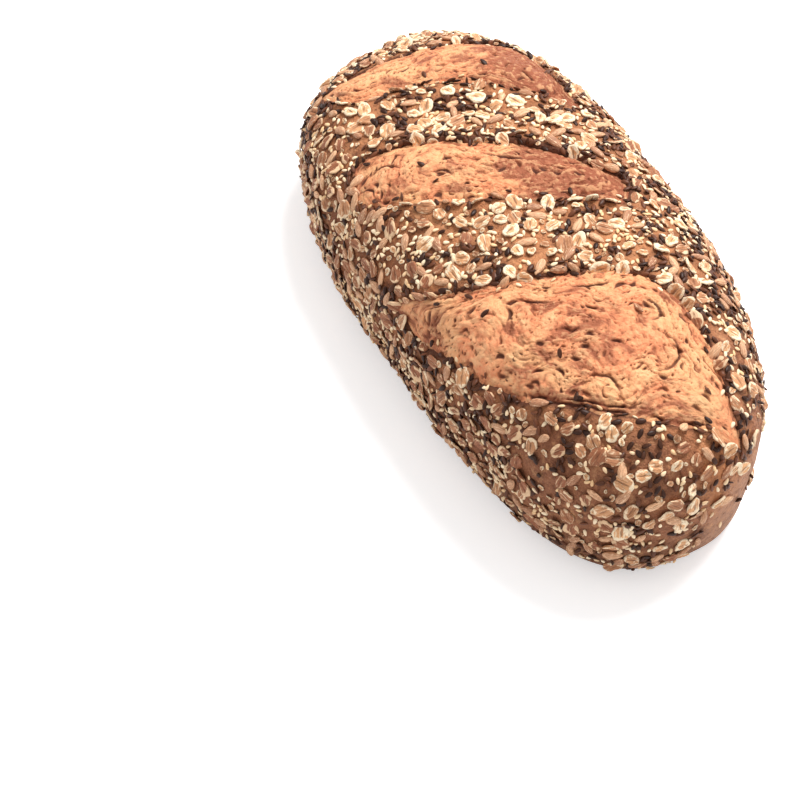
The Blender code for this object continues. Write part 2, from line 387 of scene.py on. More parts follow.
# Painted shade: the skin is darker on both flanks, most on the left, and towards the near end
tone = skin.colour(skin.between(across_loaf + blotch * 0.02, -0.030, -0.062) * 0.85, tone, srgb(134, 78, 48))
tone = skin.colour(skin.between(across_loaf - blotch * 0.02, 0.020, 0.045) * 0.35, tone, srgb(144, 90, 60))
tone = skin.colour(skin.between(along_loaf + blotch * 0.03, 0.080, 0.135) * 0.80, tone, srgb(152, 98, 70))
tone = skin.colour(skin.kept("pulled"), tone, srgb(214, 142, 96))
# Painted shade low down, towards the base
tone = skin.colour(low * 0.85, tone, srgb(142, 98, 72))
tone = skin.colour(skin.kept("bare") * 0.65, tone, srgb(198, 148, 118))
tone = skin.colour(skin.between(skin.grain(19, 3, 0.6), 0.54, 0.70) * 0.45, tone, srgb(120, 74, 48))
clouds = skin.grain(130, 4, 0.7)
tone = skin.colour(skin.between(clouds, 0.52, 0.68) * 0.50, tone, srgb(112, 68, 46))
tone = skin.colour(skin.between(clouds, 0.46, 0.32) * 0.45, tone, srgb(224, 166, 120))
tone = skin.colour(skin.between(speckle, 0.52, 0.68) * 0.66, tone, srgb(106, 62, 42))
tone = skin.colour(skin.between(speckle, 0.45, 0.34) * 0.35, tone, srgb(214, 156, 108))
# Painted shade round the linseed
tone = skin.colour(skin.kept("oiled") * 0.75, tone, srgb(98, 56, 36))
# Torn edges and slash walls darker brown, partly their own colour and partly painted shade, most in the deep
# groove under a far lip
tone = skin.colour(skin.kept("torn") * 0.9, tone, srgb(88, 50, 36))
skin_height = skin.grain(1000, 3, 0.6) * 0.5 + skin.grain(260, 5, 0.7) * 1.3 + clouds
crust.data.materials.clear()
crust.data.materials.append(
    skin.finish(Base_Color=tone, Normal=skin.bump(skin_height, 0.0014, 1.0), Roughness=0.52 + 0.28 * blotch)
)


# The blooms: the crumb that swelled out of each cut while the loaf baked. It has no seeds and no skin, so
# it shows the stretched dough itself, with long pores, folds and a few blisters, toasted orange brown.
GRAIN = 0.00036
SINK_OUTSIDE, SINK_ON_STEEP, JUST_UNDER = 0.0045, 0.0045, 0.0002
SHEET_MARGIN, SHEET_END, SKIRT = 0.0055, 0.0034, 0.0040
LOWEST_DOUGH, LOWEST_POINT = 0.0165, 0.0060


def uncut_top(plan):
    """Height of the uncut loaf over points in plan."""
    x = plan[:, 0] - PLAN_SKEW * plan[:, 1] / (WIDTH / 2)
    end = x / (LENGTH / 2)
    y = (plan[:, 1] - SIDE_BEND * (1 - end**2)) / (1 + NARROWING * end)
    reach = np.abs(x / (LENGTH / 2)) ** PLAN_POWER + np.abs(y / (WIDTH / 2)) ** PLAN_POWER
    reach = reach ** (1 / PLAN_POWER)
    dome = np.clip(1 - reach**PROFILE_POWER, 1e-4, 1) ** (1 / PROFILE_POWER)
    return (BELLY + (CROWN - BELLY) * dome) * (1 + RISING * end)


def too_low(plan, height):
    """Where the uncut loaf is less than a height over its widest line."""
    return uncut_top(plan) < (BELLY + height) * (1 + RISING * plan[:, 0] / (LENGTH / 2))


def uncut_normal(plan):
    step = 0.0004
    slope_x = (uncut_top(plan + [step, 0]) - uncut_top(plan - [step, 0])) / (2 * step)
    slope_y = (uncut_top(plan + [0, step]) - uncut_top(plan - [0, step])) / (2 * step)
    normal = np.column_stack([-slope_x, -slope_y, np.ones(len(plan))])
    return normal / np.linalg.norm(normal, axis=1)[:, None]


def soften(grid, reach):
    """A grid of heights, averaged over a square of neighbours, twice."""
    for axis in (0, 1, 0, 1):
        padded = np.pad(grid, [(reach, reach) if a == axis else (0, 0) for a in (0, 1)], mode="edge")
        total = np.cumsum(padded, axis=axis)
        size = 2 * reach + 1
        upper = np.take(total, range(size - 1, total.shape[axis]), axis=axis)
        start = np.zeros_like(np.take(total, [0], axis=axis))
        lower = np.take(total, range(0, total.shape[axis] - size), axis=axis)
        grid = (upper - np.concatenate([start, lower], axis=axis)) / size
    return grid


def form_blister(off, along, across, long, wide, opens):
    """A blister's dome, and how far its rim split open, at offsets in plan from its middle."""
    gap = np.hypot(off @ along / long, off @ across / wide)
    dome = np.clip(1 - gap**2, 0, 1) ** 0.7
    way = np.arctan2(off @ across, off @ along)
    side = np.clip(np.cos((way - opens) * 0.62), 0, 1) ** 2.5
    side = np.where(np.abs(np.angle(np.exp(1j * (way - opens)))) < 1.9, side, 0)
    return dome, np.exp(-(((gap - 1.04) * min(long, wide) / 0.0007) ** 2)) * side


def press_pore(order, pit, hole, row, column, angle, long, wide, bend, dark):
    """Presses one pore into the grids of pits darkened with painted shade and of holes, at its row and
    column.
    """
    reach = int(long * 2.0 / GRAIN) + 3
    rows = slice(max(row - reach, 0), min(row + reach + 1, pit.shape[0]))
    columns = slice(max(column - reach, 0), min(column + reach + 1, pit.shape[1]))
    patch = order[rows, columns] - order[row, column]
    a = patch[..., 0] * math.cos(angle) + patch[..., 1] * math.sin(angle)
    b = -patch[..., 0] * math.sin(angle) + patch[..., 1] * math.cos(angle)
    b = b + bend * a**2 / long
    shape = np.exp(-(((a / long) ** 2 + (b / wide) ** 2) ** 1.3))
    pit[rows, columns] = np.maximum(pit[rows, columns], shape * dark)
    hole[rows, columns] = np.maximum(hole[rows, columns], shape * min(1.0, wide / 0.0006))


def end_sheet(bloom, slash, plan):
    """Ends a bloom's sheet under the skin, where it turns down and is closed."""
    plan_middle = read(bloom.data.polygons, "center")[:, :2] + PLAN_SHIFT
    past_rim = too_low(plan_middle, LOWEST_DOUGH)

    # A face with a corner by the loaf's widest line would stand out of the crust there
    corners = np.empty(len(bloom.data.loops), np.int32)
    bloom.data.loops.foreach_get("vertex_index", corners)
    past_rim |= too_low(plan, LOWEST_POINT)[corners.reshape(-1, 4)].any(axis=1)
    pick_faces(bloom.data, (slash_place(plan_middle, slash)[2] > SHEET_END) | past_rim)
    bpy.ops.object.mode_set(mode="EDIT")
    bpy.ops.mesh.delete(type="FACE")
    bpy.ops.mesh.select_mode(type="EDGE")
    bpy.ops.mesh.select_all(action="DESELECT")
    bpy.ops.mesh.select_non_manifold()
    bpy.ops.mesh.extrude_region_move(TRANSFORM_OT_translate={"value": (0, 0, -SKIRT)})
    bpy.ops.mesh.edge_face_add()
    bpy.ops.mesh.select_all(action="SELECT")
    bpy.ops.mesh.normals_make_consistent(inside=False)
    bpy.ops.mesh.select_mode(type="VERT")
    bpy.ops.object.mode_set(mode="OBJECT")


def model_bloom(name, slash, seed, toasted, pores, blisters, slits, splits):
    """One bloom: a fine sheet of stretched dough that tucks in under the skin all round."""
    start, end = np.array(slash["tips"][0]), np.array(slash["tips"][1])
    along = (end - start) / np.linalg.norm(end - start)
    across = np.array([-along[1], along[0]])
    outline = np.vstack([edge_curve(slash, "far"), edge_curve(slash, "near")]) - start
    low = np.array([(outline @ along).min(), (outline @ across).min()]) - SHEET_MARGIN
    high = np.array([(outline @ along).max(), (outline @ across).max()]) + SHEET_MARGIN
    steps = np.ceil((high - low) / GRAIN).astype(int)
    bpy.ops.mesh.primitive_grid_add(x_subdivisions=int(steps[0]), y_subdivisions=int(steps[1]), size=2.0)
    bloom = bpy.context.object
    bloom.name = bloom.data.name = name
    square = read(bloom.data.vertices, "co")
    local = low + (square[:, :2] + 1) / 2 * (high - low)
    plan = start + local[:, :1] * along + local[:, 1:] * across
    flat = np.column_stack([plan, np.zeros(len(plan))])

    # Where each point is: on nested rings round the middle of the bloom, which the dough was stretched along
    to_far, to_near, outside, share, fullness = slash_place(plan, slash)
    inside = np.maximum(-outside, 0)
    sideways = (to_near - to_far) / (to_near + to_far)
    endways = 2 * np.clip(share, 0, 1) - 1
    endways = endways + 0.20 * drift(flat, 0.018, seed + 1) + 0.05 * drift(flat, 0.006, seed + 2)
    sideways = sideways + 0.26 * drift(flat, 0.018, seed + 3) + 0.07 * drift(flat, 0.006, seed + 4)
    ring = np.hypot(endways, sideways)
    half = np.abs(outline @ across).max() * 0.6
    laid = np.column_stack([ring * half, plan * 0.22])

    # The form: swollen, lower along both edges, and sunk under the skin outside them
    rise = fullness * (
        BLOOM_SWELL * (1 - np.exp(-inside / BLOOM_ROUNDING))
        - slash["grooves"][0] * np.exp(-((to_far / GROOVE_WIDTH) ** 2))
        - slash["grooves"][1] * np.exp(-((to_near / GROOVE_WIDTH) ** 2))
    )
    rise -= JUST_UNDER + SINK_OUTSIDE * smooth_step((outside + 0.0002) / 0.0032)
    top_normal = uncut_normal(plan)
    rise -= SINK_ON_STEEP * (1 - np.clip(top_normal[:, 2] / 0.30, 0, 1))

    # The stretched dough: folds and fibres along the rings, soft lumps and thin torn lines between them
    strength = np.clip(0.75 + 0.7 * drift(flat, 0.017, seed + 5), 0.2, 1.3)
    fold = 0.75 * drift(laid, 0.0052, seed + 6) + 0.65 * drift(laid, 0.0026, seed + 7)
    fibre = drift(laid, 0.0013, seed + 8) + 0.7 * drift(laid * [1, 1.6, 1.6], 0.0007, seed + 9)
    tears = np.zeros(len(plan))
    for size, limit, number in ((0.0062, 0.06, 10), (0.0040, 0.09, 11), (0.0026, 0.12, 29)):
        line = 1 - smooth_step(np.abs(drift(laid, size, seed + number)) / limit)
        tears = np.maximum(tears, line * smooth_step(0.1 + 1.6 * drift(flat, 0.007, seed + number + 2)))
    lump = drift(flat, 0.012, seed + 14) + 0.35 * drift(flat, 0.0055, seed + 15)
    fine = drift(flat, 0.0019, seed + 16) + 0.7 * drift(flat, 0.0009, seed + 17)
    relief = 0.00085 * fold * strength + 0.00060 * fibre * strength + 0.00055 * lump + 0.00030 * fine
    relief -= 0.00058 * tears * strength

    # Blisters: thin uneven domes, split open round part of their rim, with painted shade in the split
    pit = np.zeros(len(plan))
    for x, y, long, wide, height, opens in blisters:
        off = plan - (x, y)
        off = off + 0.0016 * np.column_stack([drift(flat, 0.006, seed + 18), drift(flat, 0.006, seed + 19)])
        dome, rim = form_blister(off, along, across, long, wide, math.radians(opens))
        relief += height * dome - 0.0012 * rim
        pit = np.maximum(pit, 0.8 * rim)

    # Splits, where the dough tore beside its near edge, sunk in and darkened with painted shade
    draw = random.Random(seed)
    waver = 0.0005 * drift(flat, 0.004, seed + 27)
    reddened = np.zeros(len(plan))
    for off_edge, first, last, wide, depth in splits:
        window = smooth_step((share - first) / 0.06) * smooth_step((last - share) / 0.06)
        broken = smooth_step(1.0 + 1.3 * drift(flat, 0.007, seed + 28))
        line = np.exp(-(((to_near - off_edge + 2.2 * waver) / wide) ** 2)) * window * broken
        relief -= 0.0016 * depth * line
        pit = np.maximum(pit, depth * line)
        reddened = np.maximum(reddened, window * np.exp(-(((to_near - 0.003) / 0.0035) ** 2)))

    # Pores: pits of all sizes, most of them small, stretched along the rings, and the larger slits, darkened
    # with painted shade
    grid_shape = (int(steps[1]) + 1, int(steps[0]) + 1)
    order = local.reshape(*grid_shape, 2)
    wander = 0.0004 * np.column_stack([drift(flat, 0.0022, seed + 20), drift(flat, 0.0022, seed + 21)])
    order = order + wander.reshape(*grid_shape, 2)
    cell = (high - low) / steps
    slope_y, slope_x = np.gradient(ring.reshape(grid_shape), cell[1], cell[0])
    pit_shade_grid = pit.reshape(grid_shape)
    hole = np.zeros(grid_shape)
    plenty = (drift(flat, 0.02, seed + 22) + 0.25).reshape(grid_shape)
    deep_enough = (outside < -0.0018).reshape(grid_shape)
    wanted = []
    for x, y, long, wide, bend in slits:
        nearest = int(np.argmin(np.hypot(*(plan - (x, y)).T)))
        wanted.append((*divmod(nearest, grid_shape[1]), long, wide, bend, 1.0))
    while len(wanted) < pores:
        row, column = draw.randrange(grid_shape[0]), draw.randrange(grid_shape[1])
        if not deep_enough[row, column] or plenty[row, column] < draw.uniform(-0.8, 0.9):
            continue
        long = min(0.00034 * math.exp(draw.expovariate(1.9)), 0.0024)
        wide = long * draw.uniform(0.22, 0.5) if long > 0.0006 else long * draw.uniform(0.5, 0.9)
        bend = draw.uniform(-0.7, 0.7) if long > 0.0010 else 0.0
        wanted.append((row, column, long, wide, bend, min(1.0, 0.3 + long / 0.0018) * draw.uniform(0.4, 1.0)))
    for row, column, long, wide, bend, dark in wanted:
        angle = math.atan2(slope_x[row, column], -slope_y[row, column]) + draw.gauss(0, 0.18)
        press_pore(order, pit_shade_grid, hole, row, column, angle, long, wide, bend, dark)
    pit = pit_shade_grid.ravel()
    relief -= 0.0014 * hole.ravel()
    stain = drift(laid * [1, 1.6, 1.6], 0.0042, seed + 23) + 0.8 * drift(laid * [1, 2, 2], 0.0019, seed + 24)
    stain += 0.9 * drift(flat, 0.015, seed + 25) + 0.35 * drift(flat, 0.0065, seed + 26) + 0.9 * tears
    toast = 0.40 * (1 - smooth_step(ring / 0.75)) + 0.45 * smooth_step((0.007 - to_far) / 0.007)
    toast += toasted[0] + toasted[1] * smooth_step((share - 0.45) / 0.30)
    toast += 0.15 * smooth_step((0.005 - to_near) / 0.005)
    toast += 0.9 * reddened
    height = relief.reshape(grid_shape)
    # How far each point lies below its neighbours, for painted shade in hollows and painted highlight on
    # crests
    hollow = (soften(height, 6) - height).ravel()
    rise += relief * smooth_step((inside + 0.0005) / 0.0035) * (0.35 + 0.65 * fullness)

    top = np.column_stack([plan, uncut_top(plan)])
    placed = top + top_normal * (rise + lumps(top))[:, None] - np.array(PLAN_MIDDLE)
    write(bloom.data, placed)
    bloom_normal = read(bloom.data.vertices, "normal")
    paint(bloom.data, "pit", pit)
    paint(bloom.data, "hollow", np.clip(hollow / 0.0005, -1, 1))
    paint(bloom.data, "stain", 0.46 + 0.28 * stain + 0.5 * toast)
    flow = bloom.data.attributes.new("flow", "FLOAT_VECTOR", "POINT")
    flow.data.foreach_set("vector", np.column_stack([ring * half, plan * 0.35]).astype(np.float32).ravel())
    end_sheet(bloom, slash, plan)
    bloom.data.shade_smooth()
    dough = outside < -0.002
    return bloom, placed[dough], bloom_normal[dough], inside[dough]


crumb = Look("bloom_crumb", roughness=0.66, specular=0.35)
hollow, stain = crumb.kept("hollow"), crumb.kept("stain")
flow = crumb.node("ShaderNodeAttribute", {"attribute_name": "flow"}, {}, out="Vector")
patches = crumb.grain(55, 4, 0.6)
mottle = crumb.grain(420, 5, 0.75, distortion=0.4)
streaks = crumb.grain(260, 5, 0.68, along=flow)
fibres = crumb.grain(900, 4, 0.7, along=flow)
cells = crumb.node("ShaderNodeTexVoronoi", {}, {"Vector": crumb.place, "Scale": 620.0}, out="Distance")
tone = crumb.colour(crumb.between(patches, 0.36, 0.62), srgb(255, 185, 130), srgb(246, 155, 108))
tone = crumb.colour(crumb.between(stain, 0.52, 1.05) * 0.68, tone, srgb(194, 108, 76))
tone = crumb.colour(crumb.between(stain, 1.00, 1.60) * 0.60, tone, srgb(158, 86, 62))
tone = crumb.colour(crumb.between(stain + streaks, 1.03, 1.36) * 0.62, tone, srgb(150, 82, 56))
tone = crumb.colour(crumb.between(fibres + 0.30 * stain, 0.66, 0.88) * 0.50, tone, srgb(158, 88, 58))
tone = crumb.colour(crumb.between(streaks + 0.2 * stain, 0.58, 0.44) * 0.55, tone, srgb(255, 202, 148))
tone = crumb.colour(crumb.between(mottle, 0.56, 0.72) * 0.36, tone, srgb(152, 86, 56))
tone = crumb.colour(crumb.between(mottle, 0.44, 0.32) * 0.35, tone, srgb(255, 202, 150))
tone = crumb.colour(crumb.between(cells + mottle, 0.58, 0.44) * 0.60, tone, srgb(128, 70, 44))
# Painted shade in the dough's hollows and painted highlight on its crests
tone = crumb.colour(crumb.between(hollow, 0.12, 0.9) * 0.65, tone, srgb(142, 78, 48))
tone = crumb.colour(crumb.between(0 - hollow, 0.15, 0.9) * 0.40, tone, srgb(255, 198, 144))
# Painted shade in the pores, splits and split blister rims
tone = crumb.colour(crumb.between(crumb.kept("pit"), 0.15, 0.80) * 0.88, tone, srgb(84, 42, 28))
crumb_height = crumb.grain(1500, 3, 0.6) * 0.4 + mottle * 1.3 + fibres * 0.8 + streaks
crumb_finish = crumb.finish(
    Base_Color=tone, Normal=crumb.bump(crumb_height, 0.0009, 1.0), Roughness=0.50 + 0.28 * patches
)
BLOOM_FEATURES = {
    "far": {
        "seed": 20,
        "toasted": (0.0, 1.45),
        "pores": 480,
        "blisters": (),
        "slits": (
            (-0.1115, -0.0052, 0.0035, 0.0007, 0.3), (-0.1202, -0.0241, 0.0025, 0.0007, 0.2),
            (-0.1032, 0.0107, 0.0025, 0.0006, 0.3), (-0.0749, 0.0431, 0.0050, 0.0007, 0.1),
            (-0.0617, 0.0447, 0.0030, 0.0008, 0.2),
        ),
        "splits": (),
    },
    "middle": {
        "seed": 60,
        "toasted": (-0.15, 1.35),
        "pores": 560,
        "blisters": ((-0.050, -0.046, 0.0075, 0.0050, 0.0007, 100),),
        "slits": (
            (-0.0240, 0.0020, 0.0110, 0.0007, 0.12), (-0.0326, -0.0251, 0.0050, 0.0008, 0.5),
            (-0.0495, -0.0548, 0.0050, 0.0006, 0.5), (-0.0558, -0.0391, 0.0040, 0.0006, 0.2),
            (-0.0074, 0.0294, 0.0035, 0.0008, 0.2), (-0.0084, 0.0131, 0.0020, 0.0009, 0.3),
            (-0.0034, 0.0179, 0.0020, 0.0010, 0.3), (0.0017, 0.0264, 0.0025, 0.0010, 0.2),
        ),
        "splits": (),
    },
    "near": {
        "seed": 100,
        "toasted": (0.0, 0.0),
        "pores": 850,
        "blisters": (
            (0.106, 0.003, 0.0100, 0.0090, 0.0010, 20),
            (0.111, -0.026, 0.0075, 0.0058, 0.0011, 80),
            (0.086, 0.009, 0.0070, 0.0050, -0.0012, 40),
        ),
        "slits": (
            (0.0639, -0.0051, 0.0085, 0.0007, 0.15), (0.0574, -0.0404, 0.0036, 0.0009, 0.4),
            (0.0523, -0.0373, 0.0025, 0.0009, 0.2), (0.0581, -0.0304, 0.0060, 0.0006, 0.1),
            (0.0700, -0.0526, 0.0022, 0.0010, 0.4), (0.0876, -0.0441, 0.0024, 0.0007, 0.2),
            (0.0948, -0.0365, 0.0026, 0.0007, 0.2), (0.0698, 0.0072, 0.0036, 0.0009, 0.5),
            (0.0539, -0.0218, 0.0021, 0.0009, 0.2), (0.0745, -0.0112, 0.0028, 0.0007, 0.3),
            (0.1098, 0.0134, 0.0014, 0.0007, 0.2), (0.1068, 0.0183, 0.0014, 0.0008, 0.2),
            (0.0947, -0.0098, 0.0024, 0.0006, 0.2), (0.0864, -0.0184, 0.0019, 0.0010, 0.3),
            (0.0904, -0.0230, 0.0018, 0.0010, 0.3), (0.0420, -0.0360, 0.0030, 0.0006, 0.3),
        ),
        "splits": (
            (0.0020, 0.46, 0.92, 0.0008, 1.0),
            (0.0042, 0.56, 0.84, 0.0005, 0.9),
            (0.0066, 0.64, 0.78, 0.0004, 0.7),
        ),
    },
}
dough_places, dough_normals, dough_inside = [], [], []
for place, features in BLOOM_FEATURES.items():
    bloom, points, normals, inside = model_bloom(f"bloom_{place}", SLASHES[place], **features)
    bloom.data.materials.append(crumb_finish)
    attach(bloom, "root")
    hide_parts("loaf")
    dough_places.append(points)
    dough_normals.append(normals)
    dough_inside.append(inside)
dough_places, dough_normals = np.concatenate(dough_places), np.concatenate(dough_normals)
by_the_edge = np.flatnonzero(np.concatenate(dough_inside) < 0.0050)


def dough_seat(spot):
    """The place on a bloom that is nearest to a spot in plan, and which way the dough faces there."""
    nearest = int(np.argmin(np.hypot(*(dough_places[:, :2] + PLAN_SHIFT - spot).T)))
    return dough_places[nearest], dough_normals[nearest]


def edge_seats(draw, count):
    """Places on the blooms, close to their edges, for seeds that strayed there."""
    return [(dough_places[stray], dough_normals[stray]) for stray in draw.choice(by_the_edge, count)]


# The rolled flakes: oat and wheat grains steamed and pressed flat, about 8 mm long and under 1 mm thick,
# with a crease down the middle and a split, floury rim. They stick to the wet dough and bake on.
FLAKE_LENGTH, FLAKE_ROUNDNESS, FLAKE_THICKNESS = 0.0082, 0.77, 0.0010
FLAKES, FLAKE_ROOM = 540, 0.0030
CHIPS, CHIP_ROOM = 420, 0.0012
SEAT_CELL, SEAT_SHIFT = 0.008, 0.0006

skin_grid = read(crust.data.vertices, "co")[rows]
around = (np.roll(skin_grid, -1, axis=1) - np.roll(skin_grid, 1, axis=1))[1:-1]
facing = np.cross(skin_grid[2:] - skin_grid[:-2], around).reshape(-1, 3)
areas = np.linalg.norm(facing, axis=1)
facing /= areas[:, None]
centres = skin_grid[1:-1].reshape(-1, 3)
clear_of_tear = outside_all(centres[:, :2] + PLAN_SHIFT)
clear_of_tear = np.where(facing[:, 2] > 0.1, clear_of_tear, 0.1)
bare = np.linalg.norm(centres - BARE_CENTRE, axis=1) + 0.006 * drift(centres, 0.02, 41)
crowding = smooth_step((clear_of_tear + 0.0014) / 0.0012)
crowding *= smooth_step((centres[:, 2] - 0.006) / 0.016)
crowding *= 1 - 0.97 * smooth_step((BARE_RADIUS + 0.006 - bare) / 0.012)
crowding *= 1 - 0.30 * smooth_step((centres[:, 0] - 0.085) / 0.03)
crowding *= 0.8 + 0.35 * drift(centres, 0.018, 42)
taken = {}


def seat(count, room, seed, liking=None):
    """Places for seeds on the skin, each with its own room: more where they are liked, none on another."""
    draw = np.random.default_rng(seed)
    chance = np.clip(crowding * (1 if liking is None else liking), 0, None) * areas
    tries = draw.choice(len(centres), count * 9, p=chance / chance.sum())
    shift = draw.normal(0, SEAT_SHIFT, (len(tries), 3))
    found = []
    for spot, off in zip(tries, shift):
        place = centres[spot] + off - facing[spot] * (off @ facing[spot])
        cell = tuple(int(v) for v in np.floor(place / SEAT_CELL))
        near = [
            other
            for i in (-1, 0, 1)
            for j in (-1, 0, 1)
            for k in (-1, 0, 1)
            for other in taken.get((cell[0] + i, cell[1] + j, cell[2] + k), ())
        ]
        if any(math.dist(place, other) < room + its_room for other, its_room in near):
            continue
        taken.setdefault(cell, []).append((tuple(place), room))
        found.append((place, facing[spot]))
        if len(found) == count:
            break
    return found, draw


def lay(name, forms, seats, draw, tilt, lift, tints=None, sizes=None):
    """One mesh of many seeds: a copy of one of the forms on each seat, turned and tilted at random."""
    points, faces, own, tint, base = [], [], [], [], 0
    for number, (place, normal) in enumerate(seats):
        shape, shape_faces = forms[draw.integers(len(forms))]
        z = normal + draw.normal(0, tilt, 3)
        z /= np.linalg.norm(z)
        x = np.cross(z, draw.normal(0, 1, 3))
        x /= np.linalg.norm(x)
        turn = np.array([x, np.cross(z, x), z])
        size = draw.uniform(0.86, 1.14) if sizes is None else sizes[number]
        size = size * np.array([1, draw.uniform(0.88, 1.12), min(1.0, size**-0.5)])
        points.append(place + normal * draw.uniform(*lift) + (shape * size) @ turn)
        own.append(shape / np.abs(shape).max(axis=0))
        faces.extend([tuple(base + corner for corner in face) for face in shape_faces])
        tint.append(np.full(len(shape), draw.random() if tints is None else tints[number]))
        base += len(shape)
    mesh = bpy.data.meshes.new(name)
    mesh.from_pydata(np.concatenate(points).tolist(), [], faces)
    mesh.update()
    paint(mesh, "tint", np.concatenate(tint))
    layer = mesh.attributes.new("own", "FLOAT_VECTOR", "POINT")
    layer.data.foreach_set("vector", np.concatenate(own).astype(np.float32).ravel())
    mesh.shade_smooth()
    piece = bpy.data.objects.new(name, mesh)
    bpy.context.collection.objects.link(piece)
    return piece


def take_form(obj):
    """A modelled seed's points and faces; the seed itself is then removed."""
    form = read(obj.data.vertices, "co"), [tuple(face.vertices) for face in obj.data.polygons]
    bpy.data.objects.remove(obj, do_unlink=True)
    return form


def model_flake(seed):
    """A flake: rings of faces from a round rim inwards, then split, creased and curled."""
    bpy.ops.mesh.primitive_circle_add(vertices=16, radius=1.0, fill_type="NGON")
    flake = bpy.context.object
    bpy.ops.object.mode_set(mode="EDIT")
    bpy.ops.mesh.select_all(action="SELECT")
    bpy.ops.mesh.extrude_region_move(TRANSFORM_OT_translate={"value": (0, 0, 1)})
    bpy.ops.mesh.inset(thickness=0.14)
    bpy.ops.mesh.inset(thickness=0.28)
    bpy.ops.mesh.inset(thickness=0.28)
    bpy.ops.mesh.poke()
    bpy.ops.mesh.select_all(action="SELECT")
    bpy.ops.mesh.normals_make_consistent(inside=False)
    bpy.ops.object.mode_set(mode="OBJECT")
    shape = read(flake.data.vertices, "co")
    draw = random.Random(seed)
    way = np.arctan2(shape[:, 1], shape[:, 0])
    reach = np.hypot(shape[:, 0], shape[:, 1])
    rim = 1 + 0.05 * np.cos(2 * way + draw.uniform(0, 6)) + 0.04 * np.cos(3 * way + draw.uniform(0, 6))
    rim += 0.03 * np.cos(5 * way + draw.uniform(0, 6)) + 0.03 * np.cos(7 * way + draw.uniform(0, 6))
    for _ in range(draw.choice((0, 1, 1, 2))):
        split = draw.uniform(0, math.tau)
        rim -= draw.uniform(0.14, 0.36) * np.exp(-((np.angle(np.exp(1j * (way - split))) / 0.21) ** 2))
    shape[:, :2] *= (1 + (rim - 1) * reach**2)[:, None]
    top = shape[:, 2].copy()
    crease = -0.6 * np.exp(-((shape[:, 1] / 0.16) ** 2)) * (1 - reach**2)
    curl = 0.55 * reach**2 * np.cos(2 * way + draw.uniform(0, 6))
    curl += 0.28 * reach * np.cos(5 * way + draw.uniform(0, 6))
    body = np.where(top > 0.5, 0.9 - 0.45 * reach**3 + crease, -0.3)
    shape[:, 2] = (body + curl * 0.7) * FLAKE_THICKNESS
    shape[:, 0] *= FLAKE_LENGTH / 2
    shape[:, 1] *= FLAKE_LENGTH / 2 * FLAKE_ROUNDNESS
    write(flake.data, shape)
    return take_form(flake)


flake_forms = [model_flake(seed) for seed in range(14)]
seats, draw = seat(FLAKES, FLAKE_ROOM, 51)
chip_seats, _ = seat(CHIPS, CHIP_ROOM, 52)
seat_x, seat_y, _ = np.array([place for place, _ in seats]).T
# Painted shade: flakes darker towards the near end and on both flanks, most on the left
tint_and_painted_shade = 0.22 + 0.24 * smooth_step((seat_x - 0.06) / 0.07) + 0.52 * smooth_step((-0.030 - seat_y) / 0.03)
tint_and_painted_shade += 0.30 * smooth_step((seat_y - 0.025) / 0.03)
tints = np.clip(draw.normal(tint_and_painted_shade, 0.26), 0, 1)
sizes = np.clip(draw.normal(0.96, 0.17, len(seats)), 0.55, 1.2)
chip_tints, chip_sizes = draw.uniform(0, 0.7, len(chip_seats)), draw.uniform(0.22, 0.50, len(chip_seats))
flakes = lay(
    "flakes", flake_forms, seats + chip_seats, draw, tilt=0.2, lift=(0.0003, 0.0011),
    tints=np.concatenate([tints, chip_tints]), sizes=np.concatenate([sizes, chip_sizes]),
)
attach(flakes, "root")
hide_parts("loaf")

husk = Look("flake_husk", roughness=0.6, specular=0.35)
own = husk.node("ShaderNodeAttribute", {"attribute_name": "own"}, {}, out="Vector")
flat_own = husk.node("ShaderNodeVectorMath", {"operation": "MULTIPLY"}, {0: own, 1: (1.0, 1.0, 0.0)})
reach = husk.node("ShaderNodeVectorMath", {"operation": "LENGTH"}, {0: flat_own}, out="Value")
sideways = husk.part(own, "Y")
tint = husk.kept("tint")
floury = husk.own_grain(1.3, 2, 0.6, tint)
lines = husk.own_grain(1.3, 3, 0.65, tint, stretch=(0.45, 3.8, 1.0))
from_crease = husk.node("ShaderNodeMath", {"operation": "ABSOLUTE"}, {0: sideways + 0.5 * floury - 0.25})
one_side = husk.own_grain(0.8, 1, 0.5, 1 - tint)
bran = husk.colour(husk.between(tint, 0.05, 0.95), srgb(234, 174, 122), srgb(158, 96, 64))
meal = husk.colour(husk.between(tint, 0.25, 1.0), srgb(255, 231, 196), srgb(238, 198, 156))
tone = husk.colour(husk.between(0.35 * reach + 1.2 * floury - 0.30 * tint, 0.72, 0.88), bran, meal)
tone = husk.colour(husk.between(lines, 0.54, 0.63) * 0.65, tone, srgb(138, 88, 60))
tone = husk.colour(husk.between(lines, 0.45, 0.37) * 0.80, tone, meal)
tone = husk.colour(husk.between(from_crease + 0.25 * reach, 0.20, 0.10) * 0.6, tone, srgb(126, 78, 52))
tone = husk.colour(husk.between(0.9 * reach + 3.0 * one_side + 0.3 * floury, 2.50, 2.66) * 0.95, tone, meal)
flakes.data.materials.append(husk.finish(Base_Color=tone, Normal=husk.bump(lines + floury, 0.0008, 1.0)))


# The sunflower kernels: hulled seeds, plump drops about 9 mm long, tan to grey brown with a paler edge.
KERNEL_SIZE = (0.0089, 0.0049, 0.0029)
KERNELS, KERNEL_ROOM = 250, 0.0024
KERNEL_IN_BLOOM = (0.0849, 0.0064)


